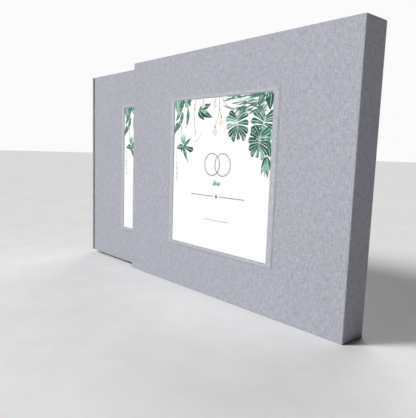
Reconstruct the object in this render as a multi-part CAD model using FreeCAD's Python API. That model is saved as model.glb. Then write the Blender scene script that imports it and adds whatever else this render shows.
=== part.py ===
import FreeCAD, Part
import os

# Wedding guest book: a landscape hardcover book sliding in a cloth-covered slipcase.
# Millimetres, +Z up. X runs along the width with the slipcase mouth at -X,
# Y runs from front to back. Origin: centre of the slipcase's bottom face.
# The book is drawn partly pulled out of the mouth.

os.makedirs("parts", exist_ok=True)

# ---- sizes: cloth and boards ----------------------------------------------
cloth = 0.5                  # linen covering cloth
turn_in = 15.0               # width of cloth folded round to the inside
lining = 0.2                 # lining paper of the slipcase
case_board = 2.0             # all boards of the slipcase
book_board = 2.5             # both cover boards
spine_board = 2.0
frame_board = 0.6            # frame round the print, so also how far it stands proud

# ---- sizes: frame and its print -------------------------------------------
frame_width = 133.0          # over the covered frame
frame_height = 139.0
frame_side = 5.7             # covered frame left and right of the print
frame_end = 3.2              # covered frame above and below it
print_gap = 0.3              # frame to print
print_card = 0.25

# ---- sizes: text block ----------------------------------------------------
leaf_width = 254.0
leaf_height = 203.2
section_count = 8
section_thickness = 1.15
fold_ratio = 0.4             # fold rounding of a section over its thickness
endpaper = 0.2
endpaper_gap = 0.1           # air between pastedown and flyleaf
tape_count = 4
tape_width = 12.0
tape_thickness = 0.3
tape_pitch = 40.0
kettle_height = 0.8          # kettle-stitch chain
kettle_inset = 2.0           # chain inside each end of the gauze
mull = 0.5                   # gauze joining block and boards
mull_grip = 25.0             # reach of the gauze onto each board
mull_end_gap = 1.0           # gauze ends short of the turned-in cloth
spine_paper = 0.2
spine_hollow = 0.3           # air between the lined block and the turned-in cloth
band_radius = 0.8            # bead of the head and tail bands
band_skirt = 6.0             # flat tail of the bands glued to the block

# ---- sizes: how things sit together ---------------------------------------
hinge_gap = 6.5              # groove between spine and cover board
groove_depth = 1.5           # cover face down to the cloth in the groove
edge_square = 3.4            # boards beyond the leaves at head and tail
fore_square = 3.2            # boards beyond the leaves at the fore-edge
front_play = 0.6             # slipcase to the frame on the book's front cover
back_gap = 1.0               # slipcase to the book's back cover
under_gap = 0.3              # below the book
head_gap = 2.0               # above the book
end_gap = 2.0                # behind the fore-edge when the book is home
rest_pull = 98.5             # how far the book stands out of the mouth

# ---- derived: book --------------------------------------------------------
cover_depth = cloth + book_board
endpaper_fold = 2 * endpaper + endpaper_gap
block_thickness = section_count * section_thickness + 2 * endpaper_fold
book_thickness = 2 * (cover_depth + cloth) + block_thickness
book_height = leaf_height + 2 * edge_square
spine_width = 2 * cloth + spine_board
block_offset = spine_width + spine_hollow + spine_paper + mull + tape_thickness
book_width = block_offset + leaf_width + fore_square

# ---- derived: slipcase ----------------------------------------------------
case_wall = cloth + case_board
front_gap = frame_board + front_play
case_thickness = 2 * (case_wall + cloth) + front_gap + back_gap + book_thickness
case_height = 2 * (case_wall + cloth) + under_gap + book_height + head_gap
case_width = book_width + end_gap + lining + case_board + cloth


def centred(middle, size):
    """Pair of limits for a size about its middle."""
    return (middle - size / 2.0, middle + size / 2.0)


def grown(span, by):
    """The same pair of limits moved out (or in, if negative) at both ends."""
    return (span[0] - by, span[1] + by)


def block(xs, ys, zs):
    """Box between three pairs of limits."""
    corner = FreeCAD.Vector(xs[0], ys[0], zs[0])
    return Part.makeBox(xs[1] - xs[0], ys[1] - ys[0], zs[1] - zs[0], corner)


def inward(span, side, near, far):
    """Limits between two depths measured in from the low (-1) or high (+1) end."""
    if side < 0:
        return (span[0] + near, span[0] + far)
    return (span[1] - far, span[1] - near)


def joined(first, others):
    """One solid from touching pieces."""
    return first.multiFuse(others).removeSplitter()


def framed_front(prefix, board_span, xs, zs, front, skin):
    """Frame board on the front board, its print, and the cloth drawn over the frame."""
    board_front = front + cloth
    top = front - frame_board
    hole_x = grown(xs, -frame_side)
    hole_z = grown(zs, -frame_end)
    ring_y = (board_front - frame_board, board_front)
    ring = block(grown(xs, -cloth), ring_y, grown(zs, -cloth))
    ring = ring.cut(block(grown(hole_x, cloth), ring_y, grown(hole_z, cloth)))
    hill = block(xs, (top, board_front), zs)
    hollow = block(hole_x, (top, front), hole_z)
    nodes[prefix + "_front_board"] = block(*board_span)
    nodes[prefix + "_front_frame_board"] = ring
    card_y = (front - print_card, front)
    nodes[prefix + "_print"] = block(grown(hole_x, -print_gap), card_y, grown(hole_z, -print_gap))
    return skin.fuse(hill).cut(hollow).cut(ring).removeSplitter()


nodes = {}

# ---- slipcase -------------------------------------------------------------
case_x = centred(0.0, case_width)
case_y = centred(0.0, case_thickness)
case_z = (0.0, case_height)
mouth = case_x[0]
board_x = grown(case_x, -cloth)
board_z = grown(case_z, -cloth)
room_x = (mouth, board_x[1] - case_board)
room_y = grown(case_y, -case_wall)
room_z = grown(case_z, -case_wall)
inner_x = (board_x[0], room_x[1])

nodes["slipcase_back_board"] = block(board_x, inward(case_y, 1, cloth, case_wall), board_z)
nodes["slipcase_end_board"] = block((room_x[1], board_x[1]), room_y, board_z)

# One cloth goes round front, end and back, and is turned in at the mouth.
edge_x = (mouth, mouth + cloth)
turn_x = (mouth, mouth + turn_in)
open_x = (mouth, board_x[1])
shell = block(case_x, case_y, case_z).cut(block(open_x, grown(case_y, -cloth), case_z))
folds = []
for side in (-1, 1):
    folds.append(block(edge_x, inward(case_y, side, cloth, case_wall), board_z))
    folds.append(block(turn_x, inward(case_y, side, case_wall, case_wall + cloth), room_z))
wrap = joined(shell, folds)
front_span = (board_x, inward(case_y, -1, cloth, case_wall), board_z)
frame_x = centred(0.0, frame_width)
frame_z = centred(case_height / 2.0, frame_height)
nodes["slipcase_wrap_cloth"] = framed_front("slipcase", front_span, frame_x, frame_z, case_y[0], wrap)

# Top and bottom: board, cloth strip folded round the mouth edge, lining paper.
lining_x = (turn_x[1], room_x[1])
lining_y = grown(room_y, -lining)
for name, side in (("bottom", -1), ("top", 1)):
    plate_z = inward(case_z, side, cloth, case_wall)
    nodes["slipcase_" + name + "_board"] = block(inner_x, room_y, plate_z)
    strip = block(open_x, grown(case_y, -cloth), inward(case_z, side, 0.0, cloth))
    edge = block(edge_x, room_y, plate_z)
    fold_z = inward(room_z, side, 0.0, cloth)
    fold = block(turn_x, grown(room_y, -cloth), fold_z)
    nodes["slipcase_" + name + "_cloth"] = joined(strip, [edge, fold])
    sheet_z = inward(room_z, side, 0.0, lining)
    nodes["slipcase_" + name + "_lining"] = block(lining_x, lining_y, sheet_z)
for name, side in (("front", -1), ("back", 1)):
    sheet_y = inward(room_y, side, 0.0, lining)
    nodes["slipcase_" + name + "_lining"] = block(lining_x, sheet_y, room_z)
end_sheet_x = inward(lining_x, 1, 0.0, lining)
nodes["slipcase_end_lining"] = block(end_sheet_x, lining_y, grown(room_z, -lining))

# ---- book: case -----------------------------------------------------------
spine_face = mouth - rest_pull
book_x = (spine_face, spine_face + book_width)
book_front = room_y[0] + cloth + front_gap
book_y = (book_front, book_front + book_thickness)
book_foot = case_wall + cloth + under_gap
book_z = (book_foot, book_foot + book_height)
spine_x = (spine_face, spine_face + spine_width)
cover_x = (spine_x[1] + hinge_gap, book_x[1])
cover_board_x = grown(cover_x, -cloth)
cover_board_z = grown(book_z, -cloth)
cover_middle = (cover_x[0] + cover_x[1]) / 2.0
book_middle = (book_z[0] + book_z[1]) / 2.0

nodes["book_back_board"] = block(cover_board_x, inward(book_y, 1, cloth, cover_depth),
                                 cover_board_z)
spine_board_x = grown(spine_x, -cloth)
nodes["book_spine_board"] = block(spine_board_x, grown(book_y, -cloth), cover_board_z)

# One cloth covers spine, both hinge grooves and both covers, turned in all round.
groove_x = (spine_x[1], cover_x[0])
turned_z = grown(book_z, -turn_in)
block_y = grown(book_y, -(cover_depth + cloth))
spine_room_y = grown(block_y, cloth)
spine_skin = block(spine_x, book_y, book_z).cut(nodes["book_spine_board"])
spine_skin = spine_skin.cut(block((spine_board_x[1], spine_x[1]), spine_room_y, turned_z))
skins = []
for side in (-1, 1):
    fold_y = inward(book_y, side, cover_depth, cover_depth + cloth)
    skin = block(cover_x, inward(book_y, side, 0.0, cover_depth + cloth), book_z)
    skin = skin.cut(block(cover_board_x, inward(book_y, side, cloth, cover_depth), cover_board_z))
    skin = skin.cut(block((cover_x[0], cover_x[1] - turn_in), fold_y, turned_z))
    skins.append(skin)
    groove_y = inward(book_y, side, groove_depth, groove_depth + cloth)
    groove_end_y = inward(book_y, side, groove_depth, cover_depth + cloth)
    skins.append(block(groove_x, groove_y, book_z))
    for end in (-1, 1):
        skins.append(block(groove_x, groove_end_y, inward(book_z, end, 0.0, cloth)))
        skins.append(block(groove_x, fold_y, inward(book_z, end, 0.0, turn_in)))
case_skin = joined(spine_skin, skins)
cover_span = (cover_board_x, inward(book_y, -1, cloth, cover_depth), cover_board_z)
cover_frame_x = centred(cover_middle, frame_width)
cover_frame_z = centred(book_middle, frame_height)
nodes["book_case_cloth"] = framed_front("book", cover_span, cover_frame_x, cover_frame_z,
                                        book_front, case_skin)

# Card filling the hollow framed by the turned-in cloth, level with the gauze.
infill_x = (cover_x[0] + mull_grip, cover_x[1] - turn_in)
for name, side in (("front", -1), ("back", 1)):
    sheet_y = inward(block_y, side, -cloth, 0.0)
    nodes["book_" + name + "_infill"] = block(infill_x, sheet_y, turned_z)

# ---- book: text block -----------------------------------------------------
leaf_x = (spine_face + block_offset, spine_face + block_offset + leaf_width)
leaf_z = grown(book_z, -edge_square)

# Folded endpapers: pastedown on the board, flyleaf on the block.
for name, side in (("front", -1), ("back", 1)):
    folded = block(leaf_x, inward(block_y, side, 0.0, endpaper_fold), leaf_z)
    between = inward(block_y, side, endpaper, endpaper + endpaper_gap)
    air = block((leaf_x[0] + endpaper, leaf_x[1]), between, leaf_z)
    nodes["book_" + name + "_endpaper"] = folded.cut(air)

# Sections of folded sheets, rounded at the fold.
first_leaf = block_y[0] + endpaper_fold
for index in range(section_count):
    low = first_leaf + index * section_thickness
    section = block(leaf_x, (low, low + section_thickness), leaf_z)
    folds = []
    for edge in section.Edges:
        ends = [vertex.Point for vertex in edge.Vertexes]
        if all(abs(end.x - leaf_x[0]) < 1e-6 for end in ends) and abs(ends[0].z - ends[1].z) > 1:
            folds.append(edge)
    section = section.makeFillet(fold_ratio * section_thickness, folds)
    nodes["book_section_%d" % (index + 1)] = section

# Back of the block: sewing tapes, kettle stitches, gauze and spine paper.
tape_x = (leaf_x[0] - tape_thickness, leaf_x[0])
first_tape = book_middle - tape_pitch * (tape_count - 1) / 2.0
for index in range(tape_count):
    tape_z = centred(first_tape + index * tape_pitch, tape_width)
    nodes["book_tape_%d" % (index + 1)] = block(tape_x, block_y, tape_z)
mull_x = (tape_x[0] - mull, tape_x[0])
mull_z = grown(turned_z, -mull_end_gap)
for name, side in (("tail", -1), ("head", 1)):
    chain_z = inward(mull_z, side, kettle_inset, kettle_inset + kettle_height)
    nodes["book_kettle_stitch_" + name] = block(tape_x, block_y, chain_z)
gauze = block(mull_x, spine_room_y, mull_z)
flaps = []
for side in (-1, 1):
    flap_y = inward(block_y, side, -cloth, 0.0)
    flaps.append(block((mull_x[0], infill_x[0]), flap_y, mull_z))
nodes["book_mull"] = joined(gauze, flaps)
paper_x = (mull_x[0] - spine_paper, mull_x[0])
nodes["book_spine_paper"] = block(paper_x, block_y, mull_z)

# Head and tail bands: a bead over the block's edge on a flat skirt.
for name, side in (("tailband", -1), ("headband", 1)):
    bead_z = inward(leaf_z, side, -band_radius, -band_radius)[0]
    bead_start = FreeCAD.Vector(leaf_x[0] + band_radius / 2.0, block_y[0], bead_z)
    bead = Part.makeCylinder(band_radius, block_thickness, bead_start, FreeCAD.Vector(0, 1, 0))
    skirt = block(tape_x, block_y, inward(leaf_z, side, -band_radius, band_skirt))
    nodes["book_" + name] = joined(bead, [skirt])

# ---- export ---------------------------------------------------------------
for name, shape in nodes.items():
    shape.exportStep("parts/" + name + ".step")
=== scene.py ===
# %% [markdown]
# # A wedding guest book and its slipcase
# The object is a landscape hardcover book bound in grey linen, drawn part of the way out of a
# matching linen slipcase. The measured model is loaded first and never moved. Everything that is
# modelled here takes its place from the measured model's boxes, so nothing has to be fitted by eye.

# %% Load the measured model
import bpy
import bmesh
import math
import random
from mathutils import Matrix, Vector


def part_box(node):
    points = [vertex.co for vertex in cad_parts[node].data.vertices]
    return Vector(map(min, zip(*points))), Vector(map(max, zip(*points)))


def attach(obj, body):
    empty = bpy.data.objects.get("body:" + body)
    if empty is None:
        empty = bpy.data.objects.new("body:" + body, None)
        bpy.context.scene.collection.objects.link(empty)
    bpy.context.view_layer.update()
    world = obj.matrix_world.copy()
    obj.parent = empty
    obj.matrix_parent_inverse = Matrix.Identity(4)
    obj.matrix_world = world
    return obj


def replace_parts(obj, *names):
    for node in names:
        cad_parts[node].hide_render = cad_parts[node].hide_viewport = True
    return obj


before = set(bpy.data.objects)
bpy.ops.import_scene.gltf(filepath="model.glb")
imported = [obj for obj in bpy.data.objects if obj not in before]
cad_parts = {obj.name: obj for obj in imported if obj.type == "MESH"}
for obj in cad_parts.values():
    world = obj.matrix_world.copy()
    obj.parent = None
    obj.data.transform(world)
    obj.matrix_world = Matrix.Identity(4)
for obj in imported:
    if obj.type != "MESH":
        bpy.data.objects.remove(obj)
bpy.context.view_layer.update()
MM = 0.001

# %% [markdown]
# ## Working by hand, in code
# Blender's operators act on whatever is selected, so each step needs a selection first. `start`
# adds a primitive at its real size and place and opens it for editing, and `cube` does that for a
# box between two corners. `pick` selects corners, edges or faces by where they are and which way
# they look. `finish_mesh` closes the edit and smooths the gentle bends, but keeps folds crisp.


# %% Start a piece
def to_object_mode():
    """Leaves edit mode with nothing selected."""
    if bpy.context.object and bpy.context.object.mode != "OBJECT":
        bpy.ops.object.mode_set(mode="OBJECT")
    bpy.ops.object.select_all(action="DESELECT")


def start(name, add, scale=(1, 1, 1), **how):
    """Adds a primitive, applies its place and size to its mesh and opens it in edit mode."""
    to_object_mode()
    add(**how)
    piece = bpy.context.object
    piece.name = name
    piece.data.name = name
    piece.scale = scale
    bpy.ops.object.transform_apply(location=True, rotation=True, scale=True)
    bpy.ops.object.mode_set(mode="EDIT")
    return piece


def cube(name, low, high):
    """A box between two corners."""
    low, high = Vector(low), Vector(high)
    return start(name, bpy.ops.mesh.primitive_cube_add, size=1,
                 location=(low + high) / 2, scale=high - low)


print("primitives start at their real size and place")


# %% Select by place and direction
def near(a, b, within=0.02 * MM):
    return abs(a - b) < within


def pick(kind, test):
    """Selects the corners, edges or faces whose middle and direction pass the test."""
    bpy.ops.mesh.select_mode(type=kind)
    bpy.ops.mesh.select_all(action="DESELECT")
    mesh = bmesh.from_edit_mesh(bpy.context.object.data)
    mesh.normal_update()
    parts = {"VERT": mesh.verts, "EDGE": mesh.edges, "FACE": mesh.faces}[kind]
    for part in parts:
        if kind == "VERT":
            where, way = part.co, part.normal
        elif kind == "EDGE":
            ends = [corner.co for corner in part.verts]
            where, way = (ends[0] + ends[1]) / 2, (ends[1] - ends[0]).normalized()
        else:
            where, way = part.calc_center_median(), part.normal
        if test(where, way, part):
            part.select_set(True)
    bmesh.update_edit_mesh(bpy.context.object.data)


def folded(edge, at_least=25):
    """True where two faces meet at an angle."""
    return len(edge.link_faces) == 2 and edge.calc_face_angle(0) > math.radians(at_least)


print("corners, edges and faces are selected by a test")


# %% Shape and finish a piece
def pull(x=0, y=0, z=0):
    """Extrudes what is selected and moves the new part along."""
    bpy.ops.mesh.extrude_region_move(TRANSFORM_OT_translate={"value": (x, y, z)})


def soften(width, steps=3):
    """Rounds the selected edges."""
    bpy.ops.mesh.bevel(offset=width, segments=steps, profile=0.5, affect="EDGES")


def keep_flats_flat(piece):
    """Lets the large faces set the shading, so that a rounded edge doesn't tint them."""
    weigh = piece.modifiers.new("weigh", "WEIGHTED_NORMAL")
    weigh.keep_sharp = True
    bpy.ops.object.modifier_apply(modifier=weigh.name)
    return piece


def finish_mesh(piece):
    """Leaves edit mode and shades the gentle bends smooth."""
    to_object_mode()
    piece.select_set(True)
    bpy.context.view_layer.objects.active = piece
    bpy.ops.object.shade_smooth_by_angle(angle=math.radians(gentle_bend))
    return keep_flats_flat(piece)


def thicken(piece, thickness):
    """Gives a sheet its real thickness, on the side away from its face."""
    wall = piece.modifiers.new("thickness", "SOLIDIFY")
    wall.thickness = thickness
    wall.offset = -1
    bpy.ops.object.modifier_apply(modifier=wall.name)
    return keep_flats_flat(piece)


def join_parts(parts, material):
    """Makes one piece of several, in one material."""
    to_object_mode()
    for part in parts:
        part.select_set(True)
    bpy.context.view_layer.objects.active = parts[0]
    bpy.ops.object.join()
    parts[0].data.materials.clear()
    parts[0].data.materials.append(material)
    return parts[0]


gentle_bend = 35
print("bends under", gentle_bend, "degrees are shaded smooth")

# %% [markdown]
# ## Colours and nodes
# Colours are written as the sRGB codes a paint program shows, and `paint` turns them into the
# linear light values that shaders need. `node` adds one shader node with its settings and wires.
# `begin` starts an empty material with the coordinate node that the patterns are measured in:
# object coordinates are metres, so a pattern's scale is one over its real size. `threads` is a
# stretched noise, `mixture` adds patterns up, and `close` turns the result into a surface.


# %% Colour and node helpers
def paint(code):
    parts = [int(code[i:i + 2], 16) / 255 for i in (0, 2, 4)]
    line = [c / 12.92 if c <= 0.04045 else ((c + 0.055) / 1.055) ** 2.4 for c in parts]
    return (*line, 1.0)


def node(material, kind, *wires, **settings):
    """Adds one node: settings are its properties, wires are (socket, value or output)."""
    made = material.node_tree.nodes.new("ShaderNode" + kind)
    for name, value in settings.items():
        setattr(made, name, value)
    for place, value in wires:
        if isinstance(value, bpy.types.NodeSocket):
            material.node_tree.links.new(value, made.inputs[place])
        else:
            made.inputs[place].default_value = value
    return made


def begin(name):
    material = bpy.data.materials.new(name)
    material.use_nodes = True
    material.node_tree.nodes.clear()
    return material, node(material, "TexCoord")


print("white paint is", paint("ffffff"))


# %% Pattern and surface helpers
def threads(material, where, per_metre, detail=2.0):
    """Noise stretched by a different scale along each axis."""
    place = node(material, "Mapping", ("Vector", where), ("Scale", per_metre))
    return node(material, "TexNoise", ("Vector", place.outputs[0]), ("Scale", 1.0),
                ("Detail", detail)).outputs["Fac"]


def mixture(material, *shares, base=0.0):
    """Adds patterns up, each times its share."""
    total = base
    for pattern, share in shares:
        total = node(material, "Math", (0, pattern), (1, share), (2, total),
                     operation="MULTIPLY_ADD").outputs[0]
    return total


def close(material, dark, light, amount, roughness, height=None, depth=0.0, **extras):
    """Ends a material in one shader, dark to light by the amount, with bumps if it has a height."""
    colour = node(material, "Mix", (0, amount), (6, dark), (7, light), data_type="RGBA").outputs[2]
    shader = node(material, "BsdfPrincipled", ("Base Color", colour), ("Roughness", roughness))
    for name, value in extras.items():
        shader.inputs[name.replace("_", " ")].default_value = value
    if height is not None:
        bump = node(material, "Bump", ("Height", height), ("Distance", depth), ("Strength", 1.0))
        material.node_tree.links.new(bump.outputs[0], shader.inputs["Normal"])
    node(material, "OutputMaterial", ("Surface", shader.outputs[0]))
    return material


print("a surface is a colour between two others, a roughness and bumps")

# %% [markdown]
# ## Linen bookcloth
# Bookcloth is a plain weave of flax backed with paper. Its threads are about half a millimetre
# apart and uneven: thick places, called slubs, run a few millimetres along a thread. That gives
# the eye a fine grey grain with short light and dark dashes in two directions, and no shine.
# Two noises are stretched, one along each thread direction, and a third one stands for the knots.
# A paler copy of the cloth is laid on the crest of the frame round the print as a painted
# highlight, where the light catches it.


# %% Linen material
def linen(name, dark, light):
    material, coords = begin(name)
    where = coords.outputs["Object"]
    pitch, slub, knot = 1 / (0.6 * MM), 1 / (4.5 * MM), 1 / (0.9 * MM)
    weft = threads(material, where, (slub, slub, pitch))
    warp = threads(material, where, (pitch, pitch, slub))
    knots = threads(material, where, (knot, knot, knot))
    cross = mixture(material, (weft, 0.35), (warp, 0.5), (knots, 0.15))
    grain = node(material, "MapRange", ("Value", cross), ("From Min", 0.34), ("From Max", 0.66))
    cloudy = threads(material, where, (22, 22, 22), 3.0)
    shade = mixture(material, (grain.outputs[0], 0.9), (cloudy, 0.1))
    return close(material, paint(dark), paint(light), shade, 0.88, cross, 0.25 * MM,
                 Sheen_Weight=0.12, Sheen_Roughness=0.5, Specular_IOR_Level=0.25)


grey_linen = linen("grey_linen_bookcloth", "8e8f98", "bebfc9")
# a paler copy of the grey linen, a painted highlight for the frame's crest
crest_highlight_linen = linen("painted_highlight_bookcloth", "999aa3", "c9cad3")
print(grey_linen.name, crest_highlight_linen.name)

# %% [markdown]
# ## Papers, boards and threads
# The hidden pieces are ordinary bindery stock. Paper is pressed plant fibre, so it gets a faint
# fibre mottle. Grey board is pulped waste paper with darker specks. Gauze, tape and thread are
# cotton, drawn with rows a thread apart.


# %% Paper and board materials
def fibre(name, dark, light, size, roughness=0.85, depth=0.03):
    material, coords = begin(name)
    where = coords.outputs["Object"]
    fine = threads(material, where, (1 / size,) * 3, 4.0)
    broad = threads(material, where, (0.2 / size,) * 3)
    mottle = mixture(material, (fine, 0.6), (broad, 0.4))
    spread = node(material, "MapRange", ("Value", mottle), ("From Min", 0.35), ("From Max", 0.65))
    return close(material, paint(dark), paint(light), spread.outputs[0], roughness, fine,
                 depth * MM, Specular_IOR_Level=0.3)


grey_board = fibre("grey_board", "827c70", "a29c8e", 1.2 * MM, 0.95, 0.08)
lining_paper = fibre("lining_paper", "d2cfc8", "dedbd5", 1.0 * MM)
infill_card = fibre("infill_card", "c8c3b8", "d8d4ca", 1.5 * MM)
leaf_paper = fibre("laid_leaf_paper", "ece4dc", "f6f0e9", 0.8 * MM)
end_paper = fibre("endpaper", "e4ded4", "efeae2", 1.0 * MM)
print_card = fibre("smooth_print_card", "f4f4f3", "fbfbfa", 0.6 * MM, 0.6, 0.01)
kraft_paper = fibre("kraft_spine_paper", "9c774d", "b48c5f", 1.5 * MM)
print("papers:", [m.name for m in (grey_board, lining_paper, leaf_paper, print_card)])


# %% Woven cotton materials
def woven(name, dark, light, pitch, turn=0.0):
    """Rows a thread apart both ways, from sines of the position."""
    material, coords = begin(name)
    place = node(material, "Mapping", ("Vector", coords.outputs["Object"]),
                 ("Rotation", (turn, 0, 0)))
    axes = node(material, "SeparateXYZ", ("Vector", place.outputs[0]))
    rows = []
    for axis in (1, 2):
        phase = node(material, "Math", (0, axes.outputs[axis]), (1, 2 * math.pi / pitch),
                     operation="MULTIPLY").outputs[0]
        rows.append(node(material, "Math", (0, phase), operation="SINE").outputs[0])
    height = mixture(material, (rows[0], 0.25), (rows[1], 0.25), base=0.5)
    return close(material, paint(dark), paint(light), height, 0.9, height, 0.1 * MM,
                 Specular_IOR_Level=0.2)


cotton_gauze = woven("cotton_gauze", "b9b19c", "e6e0cf", 1.2 * MM)
cotton_tape = woven("cotton_tape", "cfc6ae", "efe8d6", 0.8 * MM, 0.2)
linen_thread = woven("waxed_linen_thread", "cbbf9f", "efe6cc", 0.6 * MM, 0.7)
band_silk = woven("striped_band_silk", "8e8f98", "f1eee8", 1.6 * MM)
print("cottons:", [m.name for m in (cotton_gauze, cotton_tape, linen_thread, band_silk)])

# %% [markdown]
# ## Finishing the pieces that keep their measured shape
# Boards, papers, tapes and gauze are flat stock with sharp cut edges, so the measured shapes are
# already right and only need their material. The material goes into the piece's own slots.

# %% Give the measured pieces their materials
stock = {"_board": grey_board, "_lining": lining_paper, "_infill": infill_card,
         "_endpaper": end_paper, "_print": print_card, "_tape_1": cotton_tape,
         "_tape_2": cotton_tape, "_tape_3": cotton_tape, "_tape_4": cotton_tape,
         "kettle_stitch_head": linen_thread, "kettle_stitch_tail": linen_thread,
         "book_mull": cotton_gauze, "book_spine_paper": kraft_paper}
for name in sorted(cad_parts):
    for ending, material in stock.items():
        if name.endswith(ending):
            bpy.data.objects[name].data.materials.clear()
            bpy.data.objects[name].data.materials.append(material)
print("boards:", [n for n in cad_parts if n.endswith("_board")])

# %% [markdown]
# ## The slipcase's linen wrap
# One cloth goes round the front, the closed end and the back. It is drawn over a low card frame
# round the print, folded round the mouth edges to the inside, and lapped a little over top and
# bottom. It is modelled as the outer skin of a box: open where the real one is open, with the
# folds extruded along the boards, and then given the thickness of the cloth.

# %% Sizes shared by the cloths
cloth = 0.5 * MM
turn_in = 15 * MM
lap = 3.2 * MM
frame_rise = 0.6 * MM
frame_slope = 1.8 * MM
frame_round = 0.35 * MM
lip_round = 0.45 * MM
edge_round = 0.8 * MM
print_gap = Vector((0.3, 0, 0.3)) * MM
case_low, case_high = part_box("slipcase_wrap_cloth")
case_low.y += frame_rise
front_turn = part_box("slipcase_front_board")[1].y + cloth
back_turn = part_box("slipcase_back_board")[0].y - cloth
print("slipcase mm:", [round(v / MM, 1) for v in case_high - case_low])


# %% Raise a frame out of a cloth
def raise_frame(prefix):
    """Cuts the frame's outlines into the face that looks to -Y and draws the frame out of it."""
    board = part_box(prefix + "_front_frame_board")
    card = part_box(prefix + "_print")
    rim = Vector((cloth + frame_slope / 2, 0, cloth + frame_slope / 2))
    low, high = board[0] - rim, board[1] + rim
    hole_low, hole_high = card[0] - print_gap, card[1] + print_gap
    hair = Vector((0.1, 0, 0.1)) * MM
    slight = 6
    front = min(v.co.y for v in bmesh.from_edit_mesh(bpy.context.object.data).verts)

    def inside(where, a, b):
        return a.x < where.x < b.x and a.z < where.z < b.z

    def facing(where, way, part):
        return near(where.y, front) and way.y < -0.9

    for a in (low, high, hole_low, hole_high):
        for normal in ((1, 0, 0), (0, 0, 1)):
            pick("FACE", facing)
            bpy.ops.mesh.bisect(plane_co=a, plane_no=normal)
    pick("FACE", lambda w, n, p: facing(w, n, p) and inside(w, low, high)
         and not inside(w, hole_low, hole_high))
    pull(y=-frame_rise)
    size = high - low
    pick("VERT", lambda w, n, p: near(w.y, front - frame_rise)
         and not inside(w, low + rim, high - rim))
    bpy.ops.transform.resize(value=(1 - 2 * frame_slope / size.x, 1, 1 - 2 * frame_slope / size.z),
                             center_override=(low + high) / 2)
    pick("EDGE", lambda w, n, p: folded(p, slight) and near(w.y, front, frame_rise + MM)
         and inside(w, low - rim, high + rim)
         and not inside(w, hole_low - hair, hole_high + hair))
    soften(frame_round, 3)
    pick("EDGE", lambda w, n, p: folded(p) and near(w.y, front - frame_rise)
         and inside(w, hole_low - hair, hole_high + hair))
    soften(lip_round, 2)
    # the crest takes the second material, the paler cloth of the painted highlight
    pick("FACE", lambda w, n, p: w.y < front - 0.8 * frame_rise and n.y < -0.9)
    for face in bmesh.from_edit_mesh(bpy.context.object.data).faces:
        face.material_index = int(face.select)
    return low, high


print("frame stands proud by mm:", round(frame_rise / MM, 2))


# %% Model the wrap
wrap = cube("slipcase_linen_wrap", case_low, case_high)
pick("FACE", lambda w, n, p: abs(n.z) > 0.9)
bpy.ops.mesh.inset(thickness=lap)
mouth_x = case_low.x
pick("FACE", lambda w, n, p: abs(n.z) > 0.9 and abs(w.x) < MM and abs(w.y) < MM
     or n.x < -0.9 or abs(n.z) > 0.9 and w.x < mouth_x + lap)
bpy.ops.mesh.delete(type="FACE")
pick("VERT", lambda w, n, p: near(w.x, mouth_x + lap))
bpy.ops.transform.translate(value=(-lap, 0, 0))
frame_low, frame_high = raise_frame("slipcase")
for side, y, inner in (("front", case_low.y, front_turn), ("back", case_high.y, back_turn)):
    pick("EDGE", lambda w, n, p: near(w.x, mouth_x) and near(w.y, y) and abs(n.z) > 0.9)
    pull(y=inner - y)
    pull(x=turn_in)
bpy.ops.mesh.select_all(action="SELECT")
bpy.ops.mesh.remove_doubles(threshold=0.01 * MM)
print("wrap faces:", len(bmesh.from_edit_mesh(wrap.data).faces))


# %% Round its folds and give it thickness
def in_frame(where, low, high):
    return low.x - MM < where.x < high.x + MM and low.z - MM < where.z < high.z + MM


wrap_round = 1.0 * MM
pick("EDGE", lambda w, n, p: folded(p, 60) and not in_frame(w, frame_low, frame_high))
soften(wrap_round, 4)
bpy.ops.mesh.select_all(action="SELECT")
bpy.ops.mesh.normals_make_consistent(inside=False)
finish_mesh(wrap)
thicken(wrap, cloth)
wrap.data.materials.append(grey_linen)
# second slot: the paler cloth, a painted highlight on the frame's crest
wrap.data.materials.append(crest_highlight_linen)
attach(wrap, "slipcase")
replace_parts(wrap, "slipcase_wrap_cloth")
case_size = case_high - case_low
print("wrap polygons:", len(wrap.data.polygons))

# %% [markdown]
# ## Top and bottom strips
# A narrower strip of the same cloth covers the slipcase's top, tucked between the laps of the
# wrap, and folds round the mouth edge to the inside. A flat sheet is extruded twice from its
# mouth edge. The bottom strip is the same shape turned over.


# %% Model the two strips
def strip(name, outside, inside):
    """A strip from the closed end to the mouth, round the mouth edge and back inside."""
    middle = Vector((mouth_x / 2 + (case_high.x - lap) / 2, 0, outside))
    size = Vector((case_high.x - lap - mouth_x, case_size.y - 2 * lap, 1))
    piece = start(name, bpy.ops.mesh.primitive_plane_add, size=1, location=middle, scale=size)
    pick("EDGE", lambda w, n, p: near(w.x, mouth_x))
    pull(z=inside - outside)
    pull(x=turn_in)
    pick("EDGE", lambda w, n, p: folded(p, 60))
    soften(edge_round)
    bpy.ops.mesh.select_all(action="SELECT")
    if outside < inside:
        bpy.ops.mesh.flip_normals()
    finish_mesh(piece)
    thicken(piece, cloth)
    piece.data.materials.append(grey_linen)
    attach(piece, "slipcase")
    return piece


top_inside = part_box("slipcase_top_board")[0].z - cloth
bottom_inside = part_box("slipcase_bottom_board")[1].z + cloth
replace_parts(strip("slipcase_top_linen", case_high.z, top_inside), "slipcase_top_cloth")
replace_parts(strip("slipcase_bottom_linen", case_low.z, bottom_inside), "slipcase_bottom_cloth")
print("strips inside at mm:", round(bottom_inside / MM, 2), round(top_inside / MM, 2))

# %% [markdown]
# ## The book's case cloth
# The cover of a hardback is one cloth over three boards: front, spine and back. Between spine and
# covers it sinks into a groove, the French joint, that lets the covers open. The cloth's outline
# is drawn as a chain of extrusions from one upright edge, starting inside the front fore-edge
# and going all the way round to the inside of the back. Then head and tail are folded over.

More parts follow.
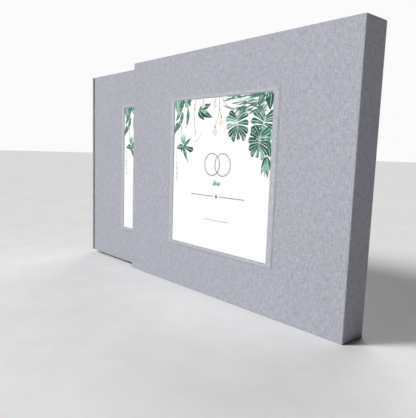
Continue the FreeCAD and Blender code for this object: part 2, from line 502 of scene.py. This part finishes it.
# %% Trace the outline round the boards
book_low, book_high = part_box("book_case_cloth")
book_low.y += frame_rise
front_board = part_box("book_front_board")
back_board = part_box("book_back_board")
spine_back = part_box("book_spine_board")[1].x + cloth
hinge_end = front_board[0].x - cloth
front_inner = front_board[1].y + cloth
back_inner = back_board[0].y - cloth
groove_depth = 1.5 * MM
groove_front = book_low.y + groove_depth
groove_back = book_high.y - groove_depth
path = [(book_high.x, front_inner), (book_high.x, groove_front), (book_high.x, book_low.y),
        (hinge_end, book_low.y), (hinge_end, groove_front), (spine_back, groove_front),
        (spine_back, book_low.y), (book_low.x, book_low.y), (book_low.x, groove_front),
        (book_low.x, front_inner), (book_low.x, back_inner), (book_low.x, groove_back),
        (book_low.x, book_high.y), (spine_back, book_high.y), (spine_back, groove_back),
        (hinge_end, groove_back), (hinge_end, book_high.y), (book_high.x, book_high.y),
        (book_high.x, groove_back), (book_high.x, back_inner), (book_high.x - turn_in, back_inner)]
case_cloth = cube("book_linen_case", (book_high.x - turn_in, front_inner - MM, book_low.z),
                  (book_high.x, front_inner, book_high.z))
pick("VERT", lambda w, n, p: near(w.y, front_inner - MM))
bpy.ops.mesh.delete(type="VERT")
here = path[0]
pick("EDGE", lambda w, n, p: near(w.x, here[0]) and abs(n.z) > 0.9)
for there in path[1:]:
    pull(x=there[0] - here[0], y=there[1] - here[1])
    here = there
print("outline steps:", len(path))

# %% Raise the frame, then fold head and tail over the boards
cover_low, cover_high = raise_frame("book")
for end, into in ((book_high.z, -1), (book_low.z, 1)):
    for face, deep, inner in ((book_low.y, groove_front, front_inner),
                              (book_high.y, groove_back, back_inner)):
        pick("EDGE", lambda w, n, p: near(w.z, end) and near(w.y, face) and abs(n.x) > 0.9
             and w.x > hinge_end)
        pull(y=deep - face)
        pull(y=inner - deep)
        pull(z=into * turn_in)
        pick("EDGE", lambda w, n, p: near(w.z, end) and near(w.y, deep) and abs(n.x) > 0.9
             and spine_back < w.x < hinge_end and len(p.link_faces) == 1)
        pull(y=inner - deep)
        pull(z=into * turn_in)
    pick("EDGE", lambda w, n, p: near(w.z, end) and near(w.x, book_low.x) and abs(n.y) > 0.9)
    pull(x=spine_back - book_low.x)
    pick("EDGE", lambda w, n, p: near(w.z, end) and near(w.x, spine_back) and abs(n.y) > 0.9
         and front_inner < w.y < back_inner)
    pull(z=into * turn_in)
bpy.ops.mesh.select_all(action="SELECT")
bpy.ops.mesh.remove_doubles(threshold=0.01 * MM)
print("case faces:", len(bmesh.from_edit_mesh(case_cloth.data).faces))

# %% Mitre the inside corners at the fore-edge
for end, into in ((book_high.z, -1), (book_low.z, 1)):
    for inner in (front_inner, back_inner):
        pick("VERT", lambda w, n, p: near(w.y, inner) and near(w.z, end)
             and near(w.x, book_high.x - turn_in))
        bpy.ops.transform.translate(value=(0, 0, into * turn_in))
        pick("VERT", lambda w, n, p: near(w.y, inner) and near(w.z, end + into * turn_in)
             and near(w.x, book_high.x))
        bpy.ops.transform.translate(value=(-turn_in, 0, 0))
bpy.ops.mesh.select_all(action="SELECT")
bpy.ops.mesh.remove_doubles(threshold=0.01 * MM)
print("case faces after the mitres:", len(bmesh.from_edit_mesh(case_cloth.data).faces))

# %% Round the folds: soft in the grooves, tighter at the board edges
spine_round = 1.0 * MM
groove_round = 0.45 * MM
pick("EDGE", lambda w, n, p: folded(p, 60) and abs(n.z) > 0.9
     and (near(w.x, spine_back) or near(w.x, book_low.x))
     and (near(w.y, book_low.y) or near(w.y, book_high.y)))
soften(spine_round, 5)
pick("EDGE", lambda w, n, p: folded(p, 60) and spine_back - MM < w.x < hinge_end + MM
     and (near(w.y, groove_front) or near(w.y, groove_back)) and abs(n.z) > 0.9)
soften(groove_round, 3)
in_groove = 0.3 * MM
pick("EDGE", lambda w, n, p: folded(p, 60) and not in_frame(w, cover_low, cover_high)
     and not (near(w.y, groove_front, in_groove) or near(w.y, groove_back, in_groove)))
soften(edge_round)
bpy.ops.mesh.select_all(action="SELECT")
bpy.ops.mesh.normals_make_consistent(inside=False)
finish_mesh(case_cloth)
thicken(case_cloth, cloth)
case_cloth.data.materials.append(grey_linen)
# second slot: the paler cloth, a painted highlight on the frame's crest
case_cloth.data.materials.append(crest_highlight_linen)
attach(case_cloth, "book")
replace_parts(case_cloth, "book_case_cloth")
print("case polygons:", len(case_cloth.data.polygons))

# %% [markdown]
# ## Leaves
# The text block is eight sewn sections. Each is a few folded sheets, so its fold is one rounded
# edge and its other edges show separate leaves that never line up perfectly. One leaf is copied
# through the thickness of the section, and each copy's free edges are moved back by a random
# fraction of a millimetre. The random numbers start from a fixed seed.

# %% Model the sections
random.seed(7)
leaves_in_section = 6
fold_round = 0.45 * MM
fold_reach = 6 * MM
leaf_start = 2 * MM
air = 0.02 * MM
leaf_share = 0.8
ragged_fore_edge = 0.35
ragged_head = 0.2


def section(name):
    low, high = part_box(name)
    piece = cube(name.replace("section", "leaves"), low,
                 Vector((low.x + fold_reach, high.y, high.z)))
    pick("EDGE", lambda w, n, p: near(w.x, low.x) and abs(n.z) > 0.9)
    soften(fold_round, 3)
    pitch = (high.y - low.y) / leaves_in_section
    parts = [piece]
    for index in range(leaves_in_section):
        near_y = low.y + index * pitch + air
        leaf = cube("leaf", (low.x + leaf_start, near_y, low.z),
                    (high.x, near_y + pitch * leaf_share, high.z))
        pick("VERT", lambda w, n, p: near(w.x, high.x))
        bpy.ops.transform.translate(value=(-random.uniform(0, ragged_fore_edge) * MM, 0, 0))
        pick("VERT", lambda w, n, p: near(w.z, high.z))
        bpy.ops.transform.translate(value=(0, 0, -random.uniform(0, ragged_head) * MM))
        parts.append(leaf)
    finish_mesh(join_parts(parts, leaf_paper))
    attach(piece, "book")
    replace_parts(piece, name)
    return piece


sections = [section(n) for n in sorted(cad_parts) if n.startswith("book_section")]
print("sections:", len(sections), "polygons each:", len(sections[0].data.polygons))

# %% [markdown]
# ## Head and tail bands
# A headband is a silk-wound cord glued over the ends of the block's back. Its winding makes
# small ridges in two colours. One ridge is a short cylinder with rounded rims, and the row of
# ridges is an Array modifier along the band.


# %% Model the bands
ridges = 17
bead_radius = 0.8 * MM
ridge_round = 0.2 * MM
skirt_depth = 0.3 * MM
skirt_round = 0.05 * MM


def band(name):
    low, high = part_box(name)
    top = name == "book_headband"
    pitch = (high.y - low.y) / ridges
    bead_z = high.z - bead_radius if top else low.z + bead_radius
    centre = Vector((high.x - bead_radius, low.y + pitch / 2, bead_z))
    piece = start(name.replace("book_", "book_silk_"), bpy.ops.mesh.primitive_cylinder_add,
                  vertices=14, radius=bead_radius, depth=pitch, location=centre,
                  rotation=(math.pi / 2, 0, 0))
    pick("EDGE", lambda w, n, p: folded(p, 60))
    soften(ridge_round, 2)
    bpy.ops.object.mode_set(mode="OBJECT")
    row = piece.modifiers.new("row", "ARRAY")
    row.count = ridges
    row.use_relative_offset = False
    row.use_constant_offset = True
    row.constant_offset_displace = (0, pitch, 0)
    bpy.ops.object.modifier_apply(modifier=row.name)
    foot, head = (low.z, bead_z) if top else (bead_z, high.z)
    skirt = cube("skirt", (low.x, low.y, foot), (low.x + skirt_depth, high.y, head))
    pick("EDGE", lambda w, n, p: folded(p, 60))
    soften(skirt_round, 1)
    finish_mesh(join_parts([piece, skirt], band_silk))
    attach(piece, "book")
    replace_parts(piece, name)
    return piece


bands = [band(n) for n in ("book_headband", "book_tailband")]
print("bands:", [b.name for b in bands])

# %% [markdown]
# ## Painted leaves on the printed cards
# The cards carry a watercolour border of hanging leaves. Watercolour dries unevenly: a leaf is
# pale where the brush was wet and dark where the pigment settled, with a paler midrib. A pointed
# leaf, a blunt lobe and a line are modelled flat, each with its own map (across, along) for the
# paint to follow. Copies are turned, bent and scaled into place, each a thousandth of a millimetre
# above the one before, so that later strokes lie over earlier ones.

# %% Watercolour, ink and bulb paint
def watercolour(name, pale, mid, deep):
    material, coords = begin(name)
    leaf_map = node(material, "UVMap", uv_map="leaf").outputs[0]
    across = node(material, "SeparateXYZ", ("Vector", leaf_map)).outputs[0]
    aside = node(material, "Math", (0, across), (1, 0.5), operation="SUBTRACT").outputs[0]
    off_centre = node(material, "Math", (0, aside), operation="ABSOLUTE").outputs[0]
    rib = node(material, "MapRange", ("Value", off_centre), ("From Min", 0.0), ("From Max", 0.06))
    pool_place = node(material, "VectorMath", (0, coords.outputs["Object"]),
                      (1, (1 / (6 * MM),) * 3), operation="MULTIPLY").outputs[0]
    streak_place = node(material, "VectorMath", (0, leaf_map), (1, (5.0, 0.9, 0.0)),
                        (2, pool_place), operation="MULTIPLY_ADD").outputs[0]
    streaks = threads(material, streak_place, (1, 1, 1))
    pool = threads(material, pool_place, (1, 1, 1))
    wash = mixture(material, (streaks, 0.6), (pool, 0.4))
    settled = node(material, "Math", (0, wash), (1, rib.outputs[0]), operation="MULTIPLY")
    depth = node(material, "MapRange", ("Value", settled.outputs[0]), ("From Min", 0.36),
                 ("From Max", 0.6)).outputs[0]
    body = node(material, "Mix", (0, depth), (6, paint(mid)), (7, paint(deep)), data_type="RGBA")
    edge = node(material, "MapRange", ("Value", depth), ("From Min", 0.0), ("From Max", 0.3))
    return close(material, paint(pale), body.outputs[2], edge.outputs[0], 0.7,
                 Specular_IOR_Level=0.3)


def ink(name, dark, light):
    """Printer's ink, a little uneven where the paper takes it."""
    return fibre(name, dark, light, 0.7 * MM, 0.7, 0.0)


deep_leaf = watercolour("deep_green_watercolour", "bcdccf", "327c66", "083a31")
mint_leaf = watercolour("mint_watercolour", "e2f0ea", "9cc9b7", "4c8f77")
warm_paint = ink("warm_bulb_watercolour", "e0d3c8", "efe6dd")
grey_ink = ink("grey_printing_ink", "8c8e91", "a6a8aa")
twine_ink = ink("twine_ink", "7d8672", "a8a794")
print("paints:", [m.name for m in (deep_leaf, mint_leaf, warm_paint, grey_ink)])

# %% Model the flat shapes at unit size: one metre long, base first
least_width = 0.02


def flat_shape(name, steps, width_at):
    """A flat strip whose width follows a rule from its base, 0, to its tip, 1."""
    shape = start(name, bpy.ops.mesh.primitive_grid_add, x_subdivisions=4, y_subdivisions=steps,
                  size=1, location=(0, 0, 0))
    shape.data.uv_layers[0].name = "leaf"
    for step in range(steps + 1):
        level = -0.5 + step / steps
        pick("VERT", lambda w, n, p: near(w.y, level, 0.001))
        bpy.ops.transform.resize(value=(max(least_width, width_at(step / steps)), 1, 1),
                                 center_override=(0, level, 0))
    return finish_mesh(shape)


def lobe_width(along):
    """Narrow at the rib, widest near the end, and blunt."""
    shoulder = 0.75
    rounding = max(0.0, (along - shoulder) / (1 - shoulder))
    return (0.3 + 0.9 * along) * math.sqrt(1 - rounding * rounding)


leaf_pattern = flat_shape("leaf_pattern", 8, lambda along: math.sin(math.pi * along ** 0.75))
lobe_pattern = flat_shape("lobe_pattern", 12, lobe_width)
line_pattern = flat_shape("line_pattern", 12, lambda along: 1.0)
print("leaf polygons:", len(leaf_pattern.data.polygons))


# %% Place leaves on a card
class Card:
    """Collects the painted shapes of one card. Places are shares of its width and height."""

    first_lift, layer = 0.02 * MM, 0.001 * MM

    def __init__(self, name):
        self.low, self.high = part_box(name)
        self.width, self.height = self.high.x - self.low.x, self.high.z - self.low.z
        self.parts = {}
        self.lift = self.first_lift

    def spot(self, across, down):
        return Vector((self.low.x + across * self.width, 0, self.high.z - down * self.height))

    def put(self, pattern, group, across, down, heading, length, width, bend=0.0, gap=0.0):
        """Copies a pattern so that it starts at the spot, or a gap away, and runs along heading."""
        copy = pattern.copy()
        copy.data = pattern.data.copy()
        bpy.context.collection.objects.link(copy)
        base, turn = self.spot(across, down), math.radians(heading)
        ahead = Vector((math.sin(turn), 0, -math.cos(turn)))
        aside = Vector((math.cos(turn), 0, math.sin(turn)))
        base = base + ahead * gap * MM
        level = self.low.y - self.lift
        for corner in copy.data.vertices:
            along, side = corner.co.y + 0.5, corner.co.x
            where = base + ahead * along * length * MM
            where += aside * (side * width + bend * along * along) * MM
            where.x = min(max(where.x, self.low.x), self.high.x)
            where.z = min(max(where.z, self.low.z), self.high.z)
            corner.co = (where.x, level, where.z)
        self.lift += self.layer
        self.parts.setdefault(group, []).append(copy)


print("first stroke lifted by mm:", Card.first_lift / MM)


# %% Sprays, broad cut leaves and hanging lamps
def spray(card, group, across, down, headings, length, width, bend=2.0):
    """Leaves of about one size that fan out from one spot."""
    for heading in headings:
        size = length * random.uniform(0.8, 1.1)
        card.put(leaf_pattern, group, across, down, heading, size,
                 width * random.uniform(0.85, 1.15), bend * random.uniform(-1, 1))


def cut_leaf(card, across, down, heading, size, pairs=5):
    """A broad leaf slit to its midrib: blunt lobes in pairs, and one at the tip."""
    turn = math.radians(heading)

    def on_rib(share):
        along = share * size * MM
        return (across + math.sin(turn) * along / card.width,
                down + math.cos(turn) * along / card.height)

    for step in range(pairs):
        share = step / pairs
        for side in (-1, 1):
            reach = size * (0.72 + 0.3 * math.sin(math.pi * (0.25 + 0.6 * share)))
            group = "mint" if random.random() < 0.15 else "deep"
            card.put(lobe_pattern, group, *on_rib((share - 0.3) * 0.6),
                     heading + side * (142 - 124 * share),
                     reach * random.uniform(0.76, 0.9), size * random.uniform(0.32, 0.4),
                     -side * size * 0.12, 0.06 * size)
    card.put(lobe_pattern, "deep", *on_rib(0.36), heading, size * 0.62, size * 0.26)
    card.put(leaf_pattern, "mint", across, down, heading + 180, size * 0.5, size * 0.16)
    card.put(leaf_pattern, "mint", across, down, heading, size * 0.7, size * 0.12)


def hanging_lamp(card, across, top, down, size, bend=0.0):
    """A bulb on its twine, with a small dark cap between them."""
    twine, cap = 0.4, 0.3 * size
    card.put(line_pattern, "twine", across, top, 0, (down - top) * card.height / MM, twine, bend)
    foot = across + bend * MM / card.width
    card.put(drop_pattern, "warm", foot, down, 0, size * 1.25, size)
    card.put(lobe_pattern, "twine", foot, down - 0.008, 0, size * 0.32, cap)


print("groups of strokes are ready")


# %% Join a card's strokes, one piece for each paint
def join_strokes(card, group, name, material):
    piece = join_parts(card.parts[group], material)
    piece.name = name
    piece.data.name = name
    bpy.ops.object.mode_set(mode="EDIT")
    bpy.ops.mesh.select_all(action="SELECT")
    bpy.ops.mesh.dissolve_degenerate(threshold=0.001 * MM)
    bpy.ops.mesh.select_all(action="SELECT")
    bpy.ops.mesh.normals_make_consistent(inside=False)
    finish_mesh(piece)
    front = sum(face.normal.y * face.area for face in piece.data.polygons)
    if front > 0:
        piece.data.flip_normals()
    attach(piece, name.split("_")[0])
    return piece


print("each paint becomes one piece that faces -Y")

# %% [markdown]
# ## The other painted shapes
# Small lamps hang between the leaves on twine, and below them the card has a plain ornament:
# two linked rings over a ruled line with a diamond. Flat shapes start from a circle or a plane
# and are stored at unit size, as the leaf is.

# %% Model a drop, a ring and a diamond
drop_pattern = start("drop_pattern", bpy.ops.mesh.primitive_circle_add, vertices=20, radius=0.5,
                     fill_type="NGON", location=(0, 0, 0))
pick("VERT", lambda w, n, p: w.y < -0.1)
bpy.ops.transform.resize(value=(0.55, 1, 1), center_override=(0, -0.2, 0))
finish_mesh(drop_pattern)
ring_pattern = start("ring_pattern", bpy.ops.mesh.primitive_circle_add, vertices=48, radius=0.5,
                     fill_type="NOTHING", location=(0, 0, 0))
bpy.ops.mesh.select_all(action="SELECT")
bpy.ops.mesh.extrude_edges_move(TRANSFORM_OT_translate={"value": (0, 0, 0)})
bpy.ops.transform.resize(value=(0.91, 0.91, 1))
finish_mesh(ring_pattern)
diamond_pattern = start("diamond_pattern", bpy.ops.mesh.primitive_circle_add, vertices=4,
                        radius=0.5, fill_type="NGON", location=(0, 0, 0))
finish_mesh(diamond_pattern)
print("patterns ready")


# %% Paint the left of the border
def paint_left(card):
    # hanging cluster, top left
    for group, across, down, heading, length, width, bend in (
            ("mint", 0.03, -0.03, 4, 17, 9.0, 0.0), ("mint", 0.12, -0.02, 20, 12, 6.0, 1.0),
            ("deep", 0.10, -0.03, -6, 15, 5.6, -2.0), ("deep", 0.09, 0.06, -52, 14, 4.6, 3.0),
            ("deep", 0.10, 0.075, -12, 19, 4.6, -4.5), ("deep", 0.16, 0.055, 6, 17, 4.2, -3.5),
            ("deep", 0.045, 0.145, -34, 13, 4.4, 2.0), ("deep", 0.16, -0.02, 30, 9, 5.0, -2.0)):
        card.put(leaf_pattern, group, across, down, heading, length, width, bend)
    card.put(leaf_pattern, "deep", 0.12, 0.02, 108, 11, 1.6, -1.5)
    # trailing stem with a sprig, left
    card.put(line_pattern, "mint", 0.07, 0.13, 14, 24, 0.9, -2.0)
    card.put(line_pattern, "mint", 0.24, 0.285, 98, 12, 0.6, 7.0)
    for heading, length, width in ((-88, 10, 5.0), (24, 17, 3.8), (-38, 6, 3.0), (118, 14, 3.2)):
        card.put(leaf_pattern, "deep", 0.11, 0.315, heading, length, width, 1.5)
    card.put(lobe_pattern, "deep", 0.12, 0.315, 68, 14, 5.2, 2.0)
    spray(card, "mint", 0.11, 0.30, (150, 178, 204), 10, 3.0)
    # three-leaf sprig, upper middle
    for heading, length, width in ((100, 17, 5.6), (64, 20, 6.2), (32, 12, 6.4)):
        card.put(leaf_pattern, "deep", 0.285, 0.07, heading, length, width, 1.5)
    card.put(leaf_pattern, "mint", 0.30, 0.075, 80, 12, 2.8)


print("left of the border: a hanging cluster, a trailing sprig and a three-leaf sprig")


# %% Paint the right of the border
def paint_right(card):
    # broad cut leaves: one right of the middle, two down the right edge
    cut_leaf(card, 0.69, 0.165, 8, 14.5)
    cut_leaf(card, 0.93, 0.17, -16, 14.5)
    cut_leaf(card, 0.90, 0.275, -10, 14.0)
    card.put(lobe_pattern, "deep", 0.975, 0.25, 4, 16, 4.6, 1.0)
    # fine fronds across the top right corner
    for index in range(46):
        group = "mint" if index % 4 == 0 else "deep"
        card.put(leaf_pattern, group, random.uniform(0.66, 1.0), random.uniform(0.0, 0.10),
                 random.uniform(-104, -66), random.uniform(10, 20), random.uniform(0.8, 1.5),
                 random.uniform(-3, 4))
    for across, heading, length, width in ((0.90, -14, 13, 5.0), (0.93, -30, 12, 4.0),
                                           (0.955, 4, 14, 6.0), (0.985, -8, 15, 6.0)):
        card.put(leaf_pattern, "deep", across, -0.01, heading, length, width, 1.0)
    # pointed leaves hanging at the right edge
    for heading, length, width in ((-26, 14, 3.4), (-10, 13, 3.0), (4, 17, 4.2), (20, 12, 4.4)):
        card.put(leaf_pattern, "deep", 0.965, 0.365, heading, length, width, 1.0)
    spray(card, "mint", 0.97, 0.375, (-18, -3, 12), 15, 3.0)


print("right of the border: broad cut leaves, fine fronds and pointed leaves")


# %% Hang the lamps
def paint_lamps(card):
    # a faint beaded thread at the left edge
    card.put(line_pattern, "mint", 0.035, 0.35, 2, 28, 0.35, 1.0)
    for down in (0.43, 0.46, 0.50, 0.53):
        card.put(leaf_pattern, "mint", 0.035, down, 0, 2.2, 0.9)
    # lamps on twine
    for across, top, down, size, bend in (
            (0.335, -0.01, 0.012, 5.4, 0.0), (0.25, 0.0, 0.035, 4.4, -1.2),
            (0.235, 0.06, 0.205, 3.4, 2.0), (0.47, 0.0, 0.03, 4.6, -1.5),
            (0.505, 0.0, 0.125, 5.8, 3.0), (0.51, 0.04, 0.185, 6.4, -5.0),
            (0.15, 0.09, 0.16, 3.2, -0.6)):
        hanging_lamp(card, across, top, down, size, bend)
    card.put(line_pattern, "twine", 0.53, 0.0, 30, 18, 0.4, 7.0)


print("lamps hang from the card's top edge")


# %% Print the ornament
def print_ornament(card):
    # linked rings, a small sprig, and a ruled line with a diamond
    for across in (0.45, 0.56):
        card.put(ring_pattern, "ink", across, 0.355, 0, 20, 20)
    spray(card, "mint", 0.505, 0.56, (-118, -90, 90, 118), 6, 2.4)
    for heading in (-90, 90):
        card.put(line_pattern, "ink", 0.505, 0.64, heading, 30, 0.8, gap=4.0)
    card.put(diamond_pattern, "ink", 0.505, 0.625, 0, 4.2, 4.2)
    card.put(line_pattern, "ink", 0.38, 0.80, 90, 31, 0.45)


print("the ornament is centred at", 0.505, "of the card's width")


# %% Paint both cards
def paint_card(name, prefix):
    random.seed(11)
    card = Card(name)
    for paint_part in (paint_left, paint_right, paint_lamps, print_ornament):
        paint_part(card)
    return [join_strokes(card, "deep", prefix + "_painted_leaves_deep", deep_leaf),
            join_strokes(card, "mint", prefix + "_painted_leaves_mint", mint_leaf),
            join_strokes(card, "warm", prefix + "_painted_lamps", warm_paint),
            join_strokes(card, "twine", prefix + "_painted_twine", twine_ink),
            join_strokes(card, "ink", prefix + "_printed_ornament", grey_ink)]


painted = paint_card("slipcase_print", "slipcase") + paint_card("book_print", "book")
for pattern in (leaf_pattern, lobe_pattern, line_pattern, drop_pattern, ring_pattern,
                diamond_pattern):
    bpy.data.objects.remove(pattern, do_unlink=True)
print("painted pieces:", [p.name for p in painted])

# %% [markdown]
# ## Floor, light and camera
# A pale floor and a soft key light from the front left. The key rakes across the fronts, so the
# closed end of the slipcase falls into shade, and a weak lamp and the light from the floor lift it
# a little. A broad light from behind does the same for the back. The camera stands off the closed
# end, a little above the middle of the slipcase. The room itself is almost unlit, so a separate
# background is shown to the camera, and the Standard view keeps the white cards white.

# %% Floor
floor_paint = fibre("pale_studio_floor", "ececec", "f3f3f3", 30 * MM, 0.9, 0.0)
floor_size = 30
floor = start("studio_floor", bpy.ops.mesh.primitive_plane_add, size=floor_size,
              location=(0, 0, 0))
finish_mesh(floor)
floor.data.materials.append(floor_paint)
print("floor is", floor_size, "metres across")


# %% Lights
def sunlight(name, come_from, softness, strength):
    """Parallel light, so that the floor is equally pale near and far."""
    data = bpy.data.lights.new(name, "SUN")
    data.angle = math.radians(softness)
    data.energy = strength
    light = bpy.data.objects.new(name, data)
    bpy.context.collection.objects.link(light)
    light.rotation_euler = Vector(come_from).to_track_quat("Z", "Y").to_euler()
    return light


def lamp(name, place, aim, size, watts):
    """A soft square lamp, for light that fades along the object."""
    data = bpy.data.lights.new(name, "AREA")
    data.size = size
    data.energy = watts
    light = bpy.data.objects.new(name, data)
    bpy.context.collection.objects.link(light)
    light.location = place
    light.rotation_euler = (Vector(place) - Vector(aim)).to_track_quat("Z", "Y").to_euler()
    light.visible_camera = False
    return light


lamp("side_light", place=(0.08, -0.5, 0.28), aim=(0.06, 0, 0.12), size=0.25, watts=0.25)
sunlight("key_light", come_from=(-0.48, -0.66, 0.56), softness=18, strength=3.1)
sunlight("back_light", come_from=(-0.45, 0.6, 0.62), softness=40, strength=1.2)

# %% Room and backdrop
room_light = 0.01
world = bpy.data.worlds.new("studio_room")
bpy.context.scene.world = world
world.use_nodes = True
room = world.node_tree.nodes["Background"]
room.inputs[0].default_value = paint("f6f7fa")
room.inputs[1].default_value = room_light
backdrop = world.node_tree.nodes.new("ShaderNodeBackground")
backdrop.inputs[0].default_value = paint("fbfbfb")
seen = world.node_tree.nodes.new("ShaderNodeLightPath")
swap = world.node_tree.nodes.new("ShaderNodeMixShader")
world.node_tree.links.new(seen.outputs["Is Camera Ray"], swap.inputs[0])
world.node_tree.links.new(room.outputs[0], swap.inputs[1])
world.node_tree.links.new(backdrop.outputs[0], swap.inputs[2])
world.node_tree.links.new(swap.outputs[0], world.node_tree.nodes["World Output"].inputs[0])
bpy.context.scene.view_settings.view_transform = "Standard"
print("room light:", room_light)

# %% Camera
place = Vector((304.09, -293.43, 128.68)) * MM
right = Vector((0.64469, 0.76388, 0.02946))
ahead = Vector((-0.75435, 0.64194, -0.13733)).normalized()
right = (right - ahead * right.dot(ahead)).normalized()
camera_data = bpy.data.cameras.new("camera")
camera = bpy.data.objects.new("camera", camera_data)
bpy.context.collection.objects.link(camera)
turn = Matrix((right, right.cross(ahead), -ahead)).transposed()
camera.matrix_world = Matrix.Translation(place) @ turn.to_4x4()
camera_data.lens = 41.02
camera_data.shift_x = 0.0287
camera_data.shift_y = 0.0215
camera_data.clip_start = 0.01
bpy.context.scene.camera = camera
print("camera at mm:", [round(v / MM) for v in place])
